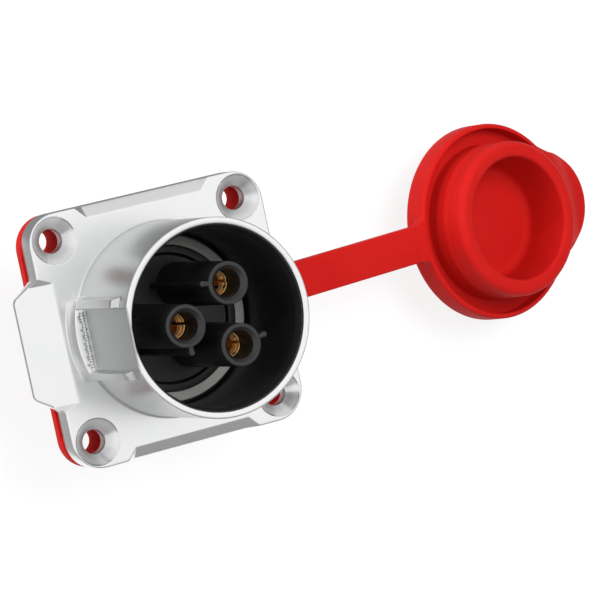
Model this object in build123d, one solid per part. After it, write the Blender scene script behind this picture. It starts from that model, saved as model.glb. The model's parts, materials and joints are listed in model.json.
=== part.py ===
from build123d import *
import os
from math import atan2, cos, degrees, radians, sin, tan

# Waterproof three-pole panel socket with a latching shell and a tethered dust cap.
# Millimetres and degrees. The origin is the middle of the mounting face (the rear
# face of the red gasket) and +Z runs along the mating axis, out of the mouth.
# The latch recess is on the -X side and the dust cap hangs off the +X side.

# Flange, a square die-cast plate with four countersunk screw holes
flange_side = 34.2
flange_thickness = 3.0
flange_corner = 4.25
flange_edge_break = 0.2
screw_from_edge = 3.6
screw_hole_d = 3.2
screw_head_d = 6.2
screw_head_depth = 1.5

# Long bevels on the flange's top and bottom edges, and the sloping name tab
bevel_width = 1.55
bevel_drop = 1.4
bevel_half_length = 8.4
bevel_end_draft = 55.0
tab_reach = 2.85
tab_root_length = 17.4
tab_tip_length = 13.7
tab_middle_y = 0.2
tab_edge_thickness = 0.5
tab_ridge_inset = 1.9
tab_end_draft = 45.0
tab_slope_length = 16.0

# Shell that the plug's sleeve slides over, with its latch housing
shell_bore_d = 24.2
shell_wall = 0.9
shell_height = 16.1
shell_edge_break = 0.2
shell_root_fillet = 0.4
latch_rise = 1.0
latch_width = 10.9
latch_height = 13.5
latch_flare = 0.6
latch_flare_height = 1.8
recess_width = 8.4
recess_into_shell = 0.6
recess_start = 1.8

# Rear neck of the casting, which passes through the panel
neck_wall = 1.3
neck_length = 10.6
gasket_seat_step = 0.3
shoulder_width = 1.4
shoulder_thickness = 2.2

# Front insulator: a cup with three towers, its stem passing through the shoulder
liner_thickness = 0.47
liner_below_rim = 0.3
cup_floor_thickness = 1.3
boss_rim_width = 1.15
boss_rim_height = 1.2
boss_dish_depth = 0.7
stem_length = 5.0
stem_wall = 0.93
tower_pitch_r = 4.72
tower_d = 5.65
tower_root_d = 6.0
tower_below_rim = 0.1
tower_lead_in = 0.4
tower_angles = (60.0, 180.0, 300.0)
rib_angles = (170.0, 272.5, 9.0)
rib_width = 0.6
rib_reach = 1.15
rib_below_tower = 0.4

# Seals inside the housing
face_seal_width = 1.32
face_seal_height = 1.0
face_seal_to_liner = 0.5
floor_ring_groove_width = 1.0
floor_ring_groove_depth = 0.6
contact_ring_width = 1.1
contact_ring_height = 1.0

# Socket contacts, turned brass with a slotted front and a screw terminal behind
pin_hole_d = 3.0
socket_wall = 0.3
socket_below_tower = 4.3
socket_depth = 8.2
socket_slot_width = 0.4
socket_slot_depth = 6.5
collar_d = 7.0
collar_thickness = 1.2
barrel_d = 5.6
barrel_end_z = -17.0
wire_hole_d = 3.2
wire_hole_depth = 6.5
drill_point = 0.9
clamp_screw_d = 3.0
clamp_screw_length = 2.2
clamp_screw_from_end = 3.3
clamp_screw_backed_off = 0.15
clamp_slot_width = 0.5
clamp_slot_depth = 0.7

# Rear insulator, the nut that pulls the cup home and the circlip
rear_insulator_thickness = 4.2
rear_collar_d = 7.4
rear_collar_height = 1.0
nut_height = 2.0
nut_slot_width = 1.6
nut_slot_depth = 0.8
clip_thickness = 0.8
clip_width = 1.25
clip_groove_depth = 0.55
clip_gap_angle = 44.0
clip_lug_d = 2.2
clip_lug_inset = 0.4
clip_eye_d = 1.0

# Gasket, strap and dust cap, one silicone moulding divided where the strap bends
gasket_thickness = 1.5
sleeve_wall = 0.7
sleeve_length = 2.6
strap_width = 5.2
strap_thickness = 1.5
strap_length = 28.6
strap_droop = 13.25
strap_root_overlap = 1.2
strap_yaw = 0.78
root_bend_from_flange = 6.0
bend_gap = 0.3
bend_axis_height = 1.0
bend_down_angle = 10.0
cap_depth = 4.0
cap_back_radius = 1.0
skirt_room = 0.3
skirt_wall = 0.7
skirt_groove_depth = 2.2
plug_room = 0.55
plug_height = 4.94
plug_bead_room = 0.2
plug_bead_z = 1.2
plug_bead_height = 1.8
plug_wall = 2.32
cap_hollow_below_rim = 2.3
cap_edge_radius = 0.4
cap_hollow_draft = 0.63
pull_tab_d = 15.2
pull_tab_reach = 5.6
pull_tab_thickness = 2.5
pull_tab_edge_radius = 0.8
pull_tab_fillet = 8.0
ear_fillet = 1.6

# Clearances between pieces
slip = 0.03
loose = 0.05
turning_room = 0.1
cap_seat_gap = 0.2

# Levels along the mating axis
flange_back_z = gasket_thickness
flange_front_z = flange_back_z + flange_thickness
rim_z = flange_front_z + shell_height
shoulder_top_z = shoulder_thickness
cup_floor_z = shoulder_top_z + cup_floor_thickness
tower_top_z = rim_z - tower_below_rim
stem_end_z = -stem_length
socket_front_z = tower_top_z - socket_below_tower
collar_back_z = stem_end_z - collar_thickness
rear_insulator_back_z = stem_end_z - rear_insulator_thickness
clip_back_z = rear_insulator_back_z - clip_thickness

# Radii used by more than one piece, worked out from the contacts outwards
half_side = flange_side / 2
screw_pitch = flange_side - 2 * screw_from_edge
pin_r = pin_hole_d / 2
socket_r = pin_r + socket_wall
seal_seat_r = socket_r + contact_ring_width
barrel_r = barrel_d / 2
collar_r = collar_d / 2
stem_r = tower_pitch_r + seal_seat_r + stem_wall
shoulder_r = stem_r + loose
neck_bore_r = shoulder_r + shoulder_width
neck_r = neck_bore_r + neck_wall
gasket_seat_r = neck_r + gasket_seat_step
clip_groove_r = neck_bore_r + clip_groove_depth
shell_bore_r = shell_bore_d / 2
shell_r = shell_bore_r + shell_wall
latch_r = shell_r + latch_rise
cup_r = shell_bore_r - slip
liner_in_r = cup_r - liner_thickness
face_seal_r = liner_in_r - face_seal_to_liner
face_seal_in_r = face_seal_r - face_seal_width
boss_r = face_seal_in_r - slip
floor_ring_r = (shoulder_r + cup_r) / 2
skirt_bore_r = shell_r + skirt_room
cap_r = skirt_bore_r + skirt_wall
plug_r = liner_in_r - plug_room
cap_hollow_r = plug_r - plug_wall

BASE = (Align.CENTER, Align.CENTER, Align.MIN)


def turned(points):
    """A solid of revolution about Z from its half section, given as (radius, z)."""
    outline = Polyline(*[(r, 0, z) for r, z in points], close=True)
    return revolve(make_face(outline), Axis.Z)


def disc(radius, low, high):
    """A plain cylinder on the Z axis between two levels."""
    return Pos(0, 0, low) * Cylinder(radius, high - low, align=BASE)


def polar(radius, angle, z=0.0):
    """A place at a radius and angle round the Z axis, turned to face outwards."""
    return Rot(0, 0, angle) * Pos(radius, 0, z)


def rounded_ring(inner_r, outer_r, low, high, corner):
    """A ring whose section is a rectangle with rounded corners, as a squeezed O-ring has."""
    section = RectangleRounded(outer_r - inner_r, high - low, corner)
    middle = Pos((inner_r + outer_r) / 2, 0, (low + high) / 2)
    return revolve(Plane.XZ * section.moved(Location((middle.position.X, middle.position.Z, 0))), Axis.Z)


def screw_places():
    """The four corners of the screw pattern."""
    return GridLocations(screw_pitch, screw_pitch, 2, 2)


def sloped_cut(origin, along, outward, length, width, draft):
    """A cutter that planes a slope off a face: it starts on a line through origin and falls
    away outwards, and its ends rise at the draft angle."""
    plane = Plane(origin=origin, x_dir=along, z_dir=outward)
    floor = plane * Pos(0, -width / 2, 0) * Rectangle(length, width)
    return extrude(floor, amount=2 * flange_thickness, dir=plane.z_dir, taper=-draft)


# Housing, one die casting: flange, name tab, shell, latch housing and rear neck
def flange_plate():
    plate = extrude(RectangleRounded(flange_side, flange_side, flange_corner), flange_thickness)
    plate = chamfer(plate.faces().sort_by(Axis.Z)[-1].edges(), flange_edge_break)
    return Pos(0, 0, flange_back_z) * plate


def name_tab():
    tip_x = half_side + tab_reach
    root = tab_root_length / 2
    tip = tab_tip_length / 2
    step = tab_reach * 0.9
    outline = Polygon(
        (-half_side + flange_corner, root),
        (-half_side, root),
        (-half_side - step, tip),
        (-tip_x, tip - (tab_reach - step) * 2),
        (-tip_x, -tip + (tab_reach - step) * 2),
        (-half_side - step, -tip),
        (-half_side, -root),
        (-half_side + flange_corner, -root),
        align=None,
    )
    return Pos(0, tab_middle_y, flange_back_z) * extrude(outline, flange_thickness)


def name_tab_slope():
    run = tab_ridge_inset + tab_reach
    fall = flange_thickness - tab_edge_thickness
    slope = atan2(fall, run)
    ridge = (-half_side + tab_ridge_inset, tab_middle_y, flange_front_z)
    outward = (-sin(slope), 0, cos(slope))
    return sloped_cut(ridge, (0, -1, 0), outward, tab_slope_length, 3 * run, tab_end_draft)


def edge_bevel(side):
    slope = atan2(bevel_drop, bevel_width)
    ridge = (0, side * (half_side - bevel_width), flange_front_z)
    outward = (0, side * sin(slope), cos(slope))
    return sloped_cut(ridge, (-side, 0, 0), outward, 2 * bevel_half_length, 3 * bevel_width, bevel_end_draft)


def shell_and_neck():
    root = flange_front_z + shell_root_fillet
    neck_end = -neck_length
    ring_in = floor_ring_r - floor_ring_groove_width / 2
    ring_out = floor_ring_r + floor_ring_groove_width / 2
    ring_floor = shoulder_top_z - floor_ring_groove_depth
    brk = shell_edge_break
    return turned([
        (shoulder_r, 0),
        (shoulder_r, shoulder_top_z),
        (ring_in, shoulder_top_z),
        (ring_in, ring_floor),
        (ring_out, ring_floor),
        (ring_out, shoulder_top_z),
        (shell_bore_r, shoulder_top_z),
        (shell_bore_r, rim_z - brk),
        (shell_bore_r + brk, rim_z),
        (shell_r - brk, rim_z),
        (shell_r, rim_z - brk),
        (shell_r, root),
        (shell_r + shell_root_fillet * 0.3, root - shell_root_fillet * 0.7),
        (shell_r + shell_root_fillet, flange_front_z),
        (shell_r + shell_root_fillet, flange_back_z),
        (gasket_seat_r, flange_back_z),
        (gasket_seat_r, 0),
        (neck_r, 0),
        (neck_r, neck_end + brk),
        (neck_r - brk, neck_end),
        (neck_bore_r, neck_end),
        (neck_bore_r, clip_back_z),
        (clip_groove_r, clip_back_z),
        (clip_groove_r, rear_insulator_back_z),
        (neck_bore_r, rear_insulator_back_z),
        (neck_bore_r, 0),
    ])


def latch_housing():
    top = flange_front_z + latch_height
    inside = (shell_bore_r + shell_r) / 2
    ring = turned([
        (inside, flange_back_z),
        (latch_r + latch_flare, flange_back_z),
        (latch_r + latch_flare, flange_front_z),
        (latch_r, flange_front_z + latch_flare_height),
        (latch_r, top - shell_edge_break),
        (latch_r - shell_edge_break, top),
        (inside, top),
    ])
    slab = Pos(-shell_r, 0, 0) * Box(shell_r, latch_width, 4 * rim_z)
    return ring & slab


def latch_recess():
    outside = shell_r
    place = Pos(recess_into_shell - shell_r - outside / 2, 0, flange_front_z + recess_start)
    return place * Box(outside, recess_width, 2 * rim_z, align=BASE)


def screw_hole():
    head_z = flange_front_z - screw_head_depth
    hole = disc(screw_hole_d / 2, 0, 2 * flange_front_z)
    cone = Cone(screw_hole_d / 2, screw_head_d / 2, screw_head_depth, align=BASE)
    return hole + Pos(0, 0, head_z) * cone


def housing():
    plate = flange_plate() + name_tab() - name_tab_slope() - edge_bevel(1) - edge_bevel(-1)
    for place in screw_places():
        plate -= place * screw_hole()
    plate -= disc(shell_bore_r, 0, rim_z)
    return plate + shell_and_neck() + latch_housing() - latch_recess()


# Insulators
def tower():
    height = tower_top_z - cup_floor_z
    lead = tower_lead_in
    body = Cone(tower_root_d / 2, tower_d / 2, height, align=BASE)
    edge = body.faces().sort_by(Axis.Z)[-1].edges()
    return Pos(0, 0, cup_floor_z) * fillet(edge, lead / 2)


def tower_rib():
    """A polarising rib beside a tower, ending in a round bead."""
    height = tower_top_z - rib_below_tower - cup_floor_z
    reach = tower_d / 2 + rib_reach
    bead_r = rib_width * 0.6
    web = Pos(reach / 2, 0, cup_floor_z) * Box(reach - bead_r, rib_width, height, align=BASE)
    bead = Pos(reach - bead_r, 0, cup_floor_z) * Cylinder(bead_r, height, align=BASE)
    return web + bead


def contact_way():
    """The stepped hole that one contact and its seal sit in."""
    bore = disc(socket_r + loose, stem_end_z, tower_top_z)
    seal_seat = disc(seal_seat_r, stem_end_z, stem_end_z + contact_ring_height)
    mouth = Cone(socket_r + loose, socket_r + loose + tower_lead_in, tower_lead_in, align=BASE)
    return bore + seal_seat + Pos(0, 0, tower_top_z - tower_lead_in) * mouth


def front_insulator():
    liner_top = rim_z - liner_below_rim
    boss_top = cup_floor_z + boss_rim_height
    dish_z = boss_top - boss_dish_depth
    dish_r = boss_r - boss_rim_width
    brk = boss_rim_height / 8
    body = turned([
        (0, stem_end_z),
        (stem_r, stem_end_z),
        (stem_r, shoulder_top_z),
        (cup_r, shoulder_top_z),
        (cup_r, liner_top),
        (liner_in_r + brk, liner_top),
        (liner_in_r, liner_top - brk),
        (liner_in_r, cup_floor_z),
        (boss_r, cup_floor_z),
        (boss_r, boss_top - brk),
        (boss_r - brk, boss_top),
        (dish_r + brk, boss_top),
        (dish_r, boss_top - brk),
        (dish_r, dish_z),
        (0, dish_z),
    ])
    for tower_angle, rib_angle in zip(tower_angles, rib_angles):
        place = Pos(polar(tower_pitch_r, tower_angle).position)
        body += place * (tower() + Rot(0, 0, rib_angle) * tower_rib())
    for tower_angle in tower_angles:
        body -= Pos(polar(tower_pitch_r, tower_angle).position) * contact_way()
    return body


def rear_insulator():
    outer_r = neck_bore_r - turning_room
    body = disc(outer_r, rear_insulator_back_z, stem_end_z)
    body = chamfer(body.edges().group_by(Axis.Z)[0], shell_edge_break)
    for angle in tower_angles:
        place = Pos(polar(tower_pitch_r, angle).position)
        rise = rear_insulator_back_z - rear_collar_height
        body += place * disc(rear_collar_d / 2, rise, rear_insulator_back_z)
    for angle in tower_angles:
        place = Pos(polar(tower_pitch_r, angle).position)
        body -= place * disc(collar_r + loose, collar_back_z, stem_end_z)
        body -= place * disc(barrel_r + loose, barrel_end_z, stem_end_z)
    return body


# Seals
def face_seal():
    top = cup_floor_z + face_seal_height
    ring = disc(face_seal_r, cup_floor_z, top) - disc(face_seal_in_r, cup_floor_z, top)
    return fillet(ring.edges().group_by(Axis.Z)[-1], face_seal_height / 8)


def floor_ring():
    half = floor_ring_groove_width / 2 - loose
    low = shoulder_top_z - floor_ring_groove_depth
    corner = floor_ring_groove_depth * 0.45
    return rounded_ring(floor_ring_r - half, floor_ring_r + half, low, shoulder_top_z, corner)


def contact_ring():
    high = stem_end_z + contact_ring_height
    return rounded_ring(socket_r, seal_seat_r, stem_end_z, high, contact_ring_height * 0.4)


# Metal pieces inside
def contact():
    """A turned contact: slotted socket, shank, collar and screw-terminal barrel."""
    wire_r = wire_hole_d / 2
    socket_floor = socket_front_z - socket_depth
    wire_top = barrel_end_z + wire_hole_depth
    brk = shell_edge_break
    body = turned([
        (0, socket_floor - drill_point),
        (pin_r, socket_floor),
        (pin_r, socket_front_z),
        ((pin_r + socket_r) / 2, socket_front_z),
        (socket_r, socket_front_z - brk),
        (socket_r, stem_end_z),
        (collar_r, stem_end_z),
        (collar_r, collar_back_z),
        (barrel_r, collar_back_z),
        (barrel_r, barrel_end_z + brk),
        (barrel_r - brk, barrel_end_z),
        (wire_r, barrel_end_z),
        (wire_r, wire_top),
        (0, wire_top + drill_point),
    ])
    slot_middle = socket_front_z - socket_slot_depth / 2
    for turn in (0, 90):
        body -= Pos(0, 0, slot_middle) * Rot(0, 0, turn) * Box(2 * socket_r, socket_slot_width, socket_slot_depth)
    return body - clamp_screw_axis() * Cylinder(clamp_screw_d / 2, barrel_d, align=BASE)


def clamp_screw_axis():
    """From the middle of the wire hole out along the clamp screw."""
    return Pos(0, 0, barrel_end_z + clamp_screw_from_end) * Rot(0, 90, 0)


def clamp_screw():
    tip = wire_hole_d / 2 + clamp_screw_backed_off
    body = Pos(0, 0, tip) * Cylinder(clamp_screw_d / 2, clamp_screw_length, align=BASE)
    body = chamfer(body.edges().group_by(Axis.Z)[0], clamp_slot_width / 2)
    slot = Pos(0, 0, tip + clamp_screw_length - clamp_slot_depth)
    body -= slot * Box(clamp_slot_width, 2 * clamp_screw_d, clamp_screw_length, align=BASE)
    return clamp_screw_axis() * body


def insulator_nut():
    outer_r = neck_bore_r - turning_room
    ring = disc(outer_r, -nut_height, 0) - disc(stem_r, -nut_height, 0)
    slot = Pos(0, 0, -nut_height) * Box(3 * outer_r, nut_slot_width, 2 * nut_slot_depth)
    return ring - slot - Rot(0, 0, 90) * slot


def circlip():
    """An internal retaining ring: a split ring with a pierced lug at each end."""
    outer_r = clip_groove_r - loose
    inner_r = outer_r - clip_width
    low, high = clip_back_z, rear_insulator_back_z
    ring = disc(outer_r, low, high) - disc(inner_r, low, high)
    lug_r = clip_lug_d / 2
    lug_middle = inner_r - clip_lug_inset
    lug_angle = clip_gap_angle / 2
    side = 2 * outer_r
    wedge_points = [(0, 0), (side, side * tan(radians(lug_angle))), (side, -side * tan(radians(lug_angle)))]
    ring -= Pos(0, 0, low) * extrude(Polygon(*wedge_points, align=None), high - low)
    for turn in (lug_angle, -lug_angle):
        ring += Pos(polar(lug_middle, turn).position) * disc(lug_r, low, high)
    for turn in (lug_angle, -lug_angle):
        ring -= Pos(polar(lug_middle, turn).position) * disc(clip_eye_d / 2, low, high)
    return ring


# Silicone moulding. The strap lies in its own plane, which droops and yaws about the
# flange's right-hand edge: x runs along the strap from that edge, z up out of its face.
def strap_frame():
    return Rot(0, 0, strap_yaw) * Pos(half_side, 0, gasket_thickness) * Rot(0, strap_droop, 0)


def closed_rim_z():
    """Level of the cap's rim when the shell's rim sits in its groove."""
    return rim_z - skirt_groove_depth + cap_seat_gap


def root_bend():
    """Across and up to the axis that the strap turns about beside the flange."""
    droop = radians(strap_droop)
    across = half_side + root_bend_from_flange * cos(droop) + bend_axis_height * sin(droop)
    up = gasket_thickness - root_bend_from_flange * sin(droop) + bend_axis_height * cos(droop)
    return across, up


def cap_bend_from_skirt():
    """How far before the skirt the strap has to bend for the closed cap to be concentric
    with the shell, when it has bent once already beside the flange."""
    free = strap_length - root_bend_from_flange
    across, up = root_bend()
    across -= cap_r
    up = closed_rim_z() - bend_axis_height - up
    return (free ** 2 - across ** 2 - up ** 2) / (2 * (free - across))


def bend_angles():
    """Degrees that the two bends turn through to close the cap."""
    across, up = root_bend()
    closed_across = cap_r + cap_bend_from_skirt()
    lean = degrees(atan2(closed_rim_z() - bend_axis_height - up, closed_across - across))
    return lean + strap_droop, 180 - lean


def end_relief():
    """How far a strap end is cut back below so that it can also bend down."""
    return strap_thickness * tan(radians(bend_down_angle / 2))


def strap_piece(start, end, back_start, back_end):
    """A length of strap whose back starts and ends at other places than its face."""
    back = strap_thickness
    points = [(start, 0), (end, 0), (back_end, -back), (back_start, -back)]
    side = Plane.XZ * Polygon(*points, align=None)
    return extrude(side, amount=strap_width / 2, both=True)


def gasket():
    plate = extrude(RectangleRounded(flange_side, flange_side, flange_corner), gasket_thickness)
    for place in screw_places():
        plate += place * disc(screw_hole_d / 2 + sleeve_wall, -sleeve_length, gasket_thickness / 2)
    end = root_bend_from_flange - bend_gap / 2
    root = strap_piece(0, end, -strap_root_overlap, end - end_relief())
    body = plate + strap_frame() * root
    body -= disc(gasket_seat_r + loose, -sleeve_length, gasket_thickness)
    for place in screw_places():
        body -= place * disc(screw_hole_d / 2, -sleeve_length, gasket_thickness)
    return body


def strap():
    start = root_bend_from_flange + bend_gap / 2
    end = strap_length - cap_bend_from_skirt() - bend_gap / 2
    return strap_frame() * strap_piece(start, end, start + end_relief(), end - end_relief())


def cap_disc_with(lug, thickness, corner):
    """The cap's disc grown out into a lug, with the corners between the two filleted."""
    flat = Circle(cap_r) + lug
    corners = [v for v in flat.vertices() if abs(v.center().length - cap_r) < slip]
    return extrude(fillet(corners, corner), thickness)


def cap_base():
    """The back of the cap and its pull tab, softly rounded all along the edge."""
    pull_tab = Pos(cap_r + pull_tab_reach - pull_tab_d / 2, 0) * Circle(pull_tab_d / 2)
    base = Pos(0, 0, -cap_depth) * cap_disc_with(pull_tab, pull_tab_thickness, pull_tab_fillet)
    base = fillet(base.faces().sort_by(Axis.Z)[0].edges(), cap_back_radius)
    return fillet(base.faces().sort_by(Axis.Z)[-1].edges(), pull_tab_edge_radius)


def cap_ear():
    """Where the strap grows out of the skirt, up to the bend beside it."""
    reach = cap_r + cap_bend_from_skirt() - bend_gap / 2
    ear = Pos(-reach / 2, 0) * Rectangle(reach, strap_width)
    lug = Pos(0, 0, -strap_thickness) * cap_disc_with(ear, strap_thickness, ear_fillet)
    past = reach + strap_thickness
    relief = Polygon((-reach, 0), (-past, 0), (-past, -strap_thickness),
                     (end_relief() - reach, -strap_thickness), align=None)
    return lug - extrude(Plane.XZ * relief, strap_width, both=True)


def cap_plug():
    """Half section of the ring that plugs the liner, with its sealing bead and its hollow."""
    bead_r = liner_in_r - plug_bead_room
    mouth_r = cap_hollow_r
    floor_r = cap_hollow_r - cap_hollow_draft
    floor_z = -cap_hollow_below_rim
    bead_low = plug_bead_z - plug_bead_height / 2
    bead_high = plug_bead_z + plug_bead_height / 2
    lip = cap_edge_radius
    lip_start = plug_height - lip
    section = [
        Polyline((mouth_r, lip_start), (floor_r, floor_z), (plug_r, floor_z), (plug_r, bead_low)),
        ThreePointArc((plug_r, bead_low), (bead_r, plug_bead_z), (plug_r, bead_high)),
        Line((plug_r, bead_high), (plug_r, lip_start)),
        RadiusArc((plug_r, lip_start), (plug_r - lip, plug_height), -lip),
        Line((plug_r - lip, plug_height), (mouth_r + lip, plug_height)),
        RadiusArc((mouth_r + lip, plug_height), (mouth_r, lip_start), -lip),
    ]
    return revolve(Plane.XZ * make_face(section), Axis.Z)


def dust_cap():
    """The cap about its own axis, with its rim at z 0 and its plug upwards."""
    body = cap_base() + disc(cap_r, cap_back_radius - cap_depth, 0) + cap_ear()
    body -= disc(skirt_bore_r, -skirt_groove_depth, 0) - disc(plug_r, -skirt_groove_depth, 0)
    body -= disc(plug_r - cap_edge_radius, -cap_hollow_below_rim, 0)
    return strap_frame() * Pos(strap_length + cap_r, 0, 0) * (body + cap_plug())


def build():
    pieces = {
        "housing": housing(),
        "front_insulator": front_insulator(),
        "rear_insulator": rear_insulator(),
        "insulator_nut": insulator_nut(),
        "circlip": circlip(),
        "face_seal": face_seal(),
        "floor_o_ring": floor_ring(),
        "gasket": gasket(),
        "strap": strap(),
        "dust_cap": dust_cap(),
    }
    for number, angle in enumerate(tower_angles, start=1):
        place = polar(tower_pitch_r, angle)
        pieces[f"contact_{number}"] = place * contact()
        pieces[f"contact_o_ring_{number}"] = place * contact_ring()
        pieces[f"clamp_screw_{number}"] = place * clamp_screw()
    return pieces


os.makedirs("parts", exist_ok=True)
for name, piece in build().items():
    export_step(piece, f"parts/{name}.step")
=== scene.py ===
"""Looks of the waterproof panel socket with its tethered dust cap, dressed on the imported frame.

Sizes are in millimetres and levels are measured from the mounting face, the back of the gasket,
with +Z out of the mouth. The latch recess is on the -X side, the dust cap on the +X side.
"""

import json
from math import asin, atan2, cos, hypot, pi, radians, sin, sqrt, tan

import bmesh
import bpy
import numpy as np
from mathutils import Matrix, Vector
from mathutils.geometry import delaunay_2d_cdt


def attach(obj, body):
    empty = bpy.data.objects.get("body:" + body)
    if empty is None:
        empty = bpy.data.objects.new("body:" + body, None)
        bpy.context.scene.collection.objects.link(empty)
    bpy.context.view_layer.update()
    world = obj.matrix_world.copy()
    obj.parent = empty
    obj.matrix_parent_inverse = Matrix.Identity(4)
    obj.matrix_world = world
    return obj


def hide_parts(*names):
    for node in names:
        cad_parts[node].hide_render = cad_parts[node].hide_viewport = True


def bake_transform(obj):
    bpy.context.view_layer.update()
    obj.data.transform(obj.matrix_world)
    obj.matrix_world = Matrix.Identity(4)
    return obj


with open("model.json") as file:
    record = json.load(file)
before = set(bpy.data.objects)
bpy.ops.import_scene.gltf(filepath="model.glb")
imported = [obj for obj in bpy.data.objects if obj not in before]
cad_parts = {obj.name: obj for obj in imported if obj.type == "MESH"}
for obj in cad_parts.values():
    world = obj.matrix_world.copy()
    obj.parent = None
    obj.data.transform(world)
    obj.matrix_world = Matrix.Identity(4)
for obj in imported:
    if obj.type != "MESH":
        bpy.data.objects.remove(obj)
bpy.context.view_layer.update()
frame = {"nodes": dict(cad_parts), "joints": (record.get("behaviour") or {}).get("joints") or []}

MM = 0.001

# Flange and its sloping tab
HALF_SIDE = 17.1
FLANGE_CORNER = 4.25
FLANGE_BACK = 1.5
FLANGE_FRONT = 4.5
SCREW_PLACE = 13.5
SCREWS = [(x, y) for x in (-SCREW_PLACE, SCREW_PLACE) for y in (-SCREW_PLACE, SCREW_PLACE)]
SCREW_HOLE = 1.6
SCREW_HEAD = 3.1
SCREW_HEAD_DEPTH = 1.5
SCREW_HEAD_ROUND = 0.14
BEVEL_WIDTH = 1.55
BEVEL_DROP = 1.4
BEVEL_HALF_LENGTH = 8.4
BEVEL_END_DRAFT = radians(55)
BEVEL_SLOPE = atan2(BEVEL_DROP, BEVEL_WIDTH)
BEVEL_ROUND = 0.1
TAB_REACH = 2.85
TAB_ROOT_HALF = 8.7
TAB_TIP_HALF = 6.85
TAB_MIDDLE = 0.2
TAB_EDGE = 0.5
TAB_RIDGE = HALF_SIDE - 1.9
TAB_SLOPE_HALF = 8.0
TAB_END_DRAFT = radians(45)
TAB_SLOPE = atan2(FLANGE_FRONT - FLANGE_BACK - TAB_EDGE, HALF_SIDE - TAB_RIDGE + TAB_REACH)
TAB_ROUND = 0.14
FLANGE_EDGE = 0.2
SCREW_HOLE_EDGE = 0.06
BURNISHED_HALF = 0.13

# Shell and latch housing
SHELL = 13.0
SHELL_BORE = 12.1
RIM = 20.6
RIM_ROUND = 0.22
SHELL_ROOT = 0.4
SHELL_FOOT = 3.2
LATCH = 14.0
LATCH_HALF = 5.45
LATCH_TOP = 18.0
LATCH_FLARE = 0.6
LATCH_ROUND = 0.26
LATCH_TOP_ROUND = 0.55
RECESS_HALF = 4.2
RECESS_FLOOR = 12.4
RECESS_START = 6.3
RECESS_ROUND = 0.22
RECESS_LEDGE_ROUND = 0.26
RECESS_GROOVE = 0.2
RECESS_GROOVE_HALF = 0.16
RECESS_GROOVE_MIDDLE = RECESS_START + 0.3
CHATTER_STEP = 0.36
CHATTER_HALF_OUT = 0.22
CHATTER_HALF_LENGTH = 0.17
CHATTER_HEIGHT = 0.2
CHATTER_SECOND_ROW = 0.55

# Rear neck and its shoulder, which holds the insert
SHOULDER = 2.2
SHOULDER_BORE = 8.6
SHOULDER_EDGE = 12.4
GASKET_SEAT = 11.6
NECK = 11.3
NECK_BORE = 10.0
NECK_END = -10.6
CLIP_GROOVE = 10.55
CLIP_FRONT = -9.2
CLIP_BACK = -10.0

# Black insert
LINER = 11.6
LINER_OUTSIDE = 12.07
LINER_LIP = 0.09
LINER_TOP = 20.3
LINER_LEAD_IN = 1.2
CUP_FLOOR = 3.5
BOSS = 9.75
BOSS_TOP = 4.7
DISH = 8.6
DISH_FLOOR = 4.0
STEM = 8.55
STEM_END = -5.0
TOWER_CIRCLE = 4.72
TOWER = 2.825
TOWER_TOP = 20.5
TOWER_ROOT = 2.5
TOWER_DRAFT = 0.18
TOWER_BORE = 1.85
TOWER_MOUTH = 2.2
FIRST_TOWER = 60.0
CONTACT_FRONT = 16.2
CONTACT_MIDDLE = 1.65
CONTACT_WALL = 0.3
CONTACT_DOME = 0.14
CONTACT_SLOT = 0.4
LOUVRES_START = 10.0
CONTACT_BEADS = (0.55, 1.1, 1.65)
BEAD_HALF = 0.11
BEAD_HEIGHT = 0.12
BEAD_PROUD = 0.07
RIB_ANGLES = (170.0, 272.5, 9.0)
RIB_WIDTH = 0.7
RIB_REACH = TOWER + 1.15
RIB_TOP = 20.4
RIB_ROUND = 0.16
SEAL_INSIDE = 9.78
SEAL_OUTSIDE = 11.1
SEAL_TOP = 4.5

# Silicone
GASKET_INSET = 0.12
GASKET_PROUD = 0.25
GASKET_BORE = 11.65
SLEEVE = 2.3
SLEEVE_END = -2.6
STRAP_DROOP = radians(13.25)
STRAP_YAW = radians(0.78)
STRAP_WIDTH = 5.2
STRAP_THICK = 1.5
STRAP_LENGTH = 28.6
CAP = 14.0
CAP_DEPTH = 4.0
CAP_BACK_ROUND = 1.0
SKIRT_BORE = 13.3
GROOVE = 2.2
GROOVE_ROUND = 0.3
PLUG = 11.05
PLUG_BEAD = 11.17
PLUG_BEAD_START = 0.2
PLUG_BEAD_LENGTH = 2.0
PLUG_TOP = 4.94
PLUG_ROUND = 1.0
CAP_MOUTH = 8.73
CAP_MOUTH_ROUND = 0.55
CAP_FLOOR_R = 8.1
CAP_FLOOR = -2.3
CAP_FLOOR_ROUND = 1.2
PULL_MIDDLE = 12.0
PULL = 7.54
PULL_TOP = -1.5
PULL_RAMP = 4.0
PULL_FILLET = 8.0
PULL_EDGE = 0.55
PULL_BLEND = 0.8
EAR_END = CAP + 1.4
EAR_FILLET = 1.6
EAR_BLEND = 0.6
SILICONE_EDGE = 0.2
SKIRT_EDGE = 0.5
SKIRT_LIP = 0.1

# Level of the studio's floor, just below the lowest point of the hanging cap
FLOOR = -17.4

# Where rows of points lie beside a rounded edge, and the grid that fills the flange's front
EDGE_STEPS = (-0.3, -0.2, -0.13, -0.07, 0, 0.07, 0.13, 0.2, 0.3)
CONE_EDGE_STEPS = (-0.25, -0.18, -0.12, -0.06, 0, 0.06, 0.12, 0.18, 0.25)
CONE_RINGS = (1.9, 2.3, 2.7)
HOLE_SIDES = 72
GRID_X = (-22, 18)
GRID_Y = (-18, 18)


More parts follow.
